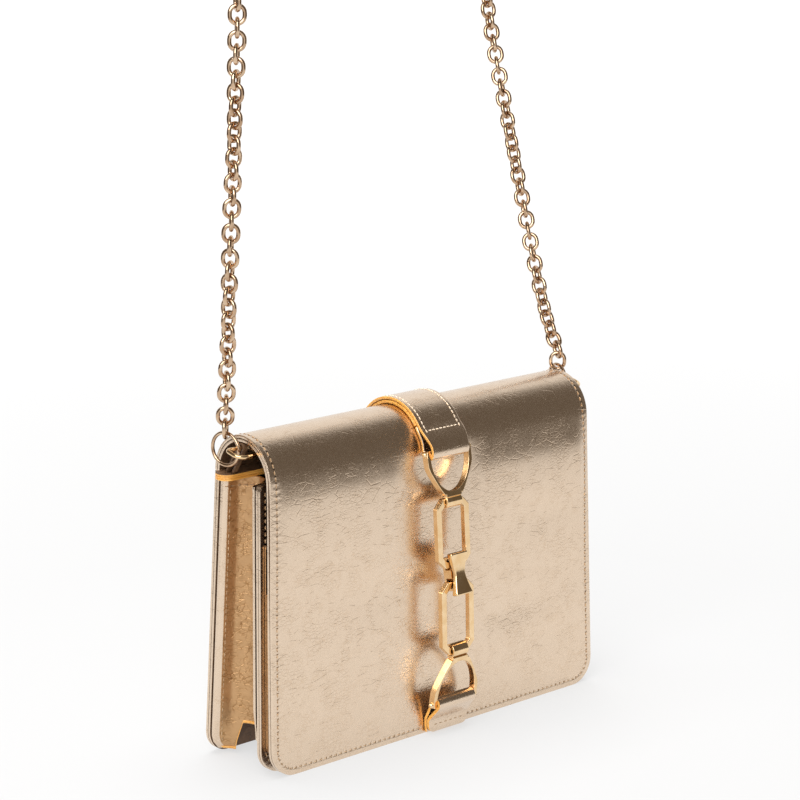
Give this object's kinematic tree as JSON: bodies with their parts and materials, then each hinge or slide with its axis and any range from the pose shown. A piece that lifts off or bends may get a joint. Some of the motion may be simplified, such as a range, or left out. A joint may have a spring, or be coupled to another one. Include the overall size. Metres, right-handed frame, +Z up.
{
  "type": "clutch bag",
  "caption": "Leather clutch bag with a rounded flap, a strip of pivoting metal hardware down its front, a chain on side rings and folded gussets.",
  "frame": {"origin": "middle of the rectangle under the bag without its chain, on the surface it stands on", "axes": "+X along the bag's width to its right end, -Y towards the flap's front face, +Z up"},
  "size_m": [0.2247, 0.1041, 0.4212],
  "materials": {
    "metallic_leather": "satin metallic leather with a fine crinkled grain",
    "lining_leather": "smooth matt leather",
    "painted_leather": "leather strip with painted edges",
    "light_gold_metal": "polished light gold plating",
    "chain_metal": "polished light gold plating"
  },
  "bodies": {
    "root": {"back_panel": "metallic_leather", "back_lining": "metallic_leather", "front_panel": "metallic_leather", "front_lining": "lining_leather", "card_slot_1": "metallic_leather", "card_slot_2": "metallic_leather", "card_slot_3": "metallic_leather", "slip_pocket": "lining_leather", "base_strip": "lining_leather", "gusset_left": "metallic_leather", "gusset_right": "metallic_leather", "ring_tab_left": "painted_leather", "ring_tab_right": "painted_leather", "ring_keeper_left": "lining_leather", "ring_keeper_right": "lining_leather", "snap_socket": "light_gold_metal"},
    "flap": {"flap_panel": "metallic_leather", "flap_lining": "lining_leather", "strap": "metallic_leather", "strap_lining": "painted_leather", "lower_tab": "metallic_leather", "snap_disc": "light_gold_metal"},
    "upper_stirrup": {"upper_stirrup": "light_gold_metal"},
    "upper_link": {"upper_link": "light_gold_metal"},
    "connector": {"connector_core": "light_gold_metal", "connector_cover": "light_gold_metal"},
    "lower_link": {"lower_link": "light_gold_metal"},
    "lower_stirrup": {"lower_stirrup": "light_gold_metal"},
    "d_ring_left": {"d_ring_left": "light_gold_metal"},
    "d_ring_right": {"d_ring_right": "light_gold_metal"},
    "chain": {"ring_left": "chain_metal", "ring_right": "chain_metal", "chain_link_left": "chain_metal", "chain_link_right": "chain_metal", "chain": "chain_metal"}
  },
  "joints": [
    {"name": "flap_open", "type": "hinge", "parent": "root", "child": "flap", "pos_m": [0, 0.02491, 0.1354], "axis": [-1, 0, 0], "range_deg": [0, 145]},
    {"name": "strip_sway", "type": "hinge", "parent": "flap", "child": "upper_stirrup", "pos_m": [0.0013, -0.01909, 0.1354], "axis": [1, 0, 0], "range_deg": [-2, 3.5]},
    {"name": "upper_link_pivot", "type": "hinge", "parent": "upper_stirrup", "child": "upper_link", "pos_m": [0.0013, -0.02169, 0.112], "axis": [1, 0, 0], "range_deg": [-2.18, 1.27]},
    {"name": "connector_pivot", "type": "hinge", "parent": "upper_link", "child": "connector", "pos_m": [0.0013, -0.02359, 0.082], "axis": [1, 0, 0], "range_deg": [-0.31, 0.51]},
    {"name": "lower_link_pivot", "type": "hinge", "parent": "connector", "child": "lower_link", "pos_m": [0.0013, -0.02549, 0.073], "axis": [1, 0, 0], "range_deg": [-3.65, 2.11]},
    {"name": "lower_stirrup_swing", "type": "hinge", "parent": "flap", "child": "lower_stirrup", "pos_m": [0.0013, -0.02389, 0.0156], "axis": [1, 0, 0], "range_deg": [-3.3, 1.91]},
    {"name": "d_ring_left_swing", "type": "hinge", "parent": "root", "child": "d_ring_left", "pos_m": [-0.1022, 0.00596, 0.1492], "axis": [1, 0, 0], "range_deg": [-4, 50]},
    {"name": "d_ring_right_swing", "type": "hinge", "parent": "root", "child": "d_ring_right", "pos_m": [0.1022, 0.00596, 0.1492], "axis": [1, 0, 0], "range_deg": [-4, 50]},
    {"name": "chain_swing", "type": "hinge", "parent": "root", "child": "chain", "pos_m": [0, 0.01109, 0.14842], "axis": [-1, 0, 0], "range_deg": [-45, 113.5]}
  ],
  "couplings": [
    {"joint": "upper_link_pivot", "follows": "strip_sway", "ratio": -0.61},
    {"joint": "connector_pivot", "follows": "strip_sway", "ratio": 0.13},
    {"joint": "lower_link_pivot", "follows": "strip_sway", "ratio": -1.0287},
    {"joint": "lower_stirrup_swing", "follows": "strip_sway", "ratio": -0.9286}
  ]
}
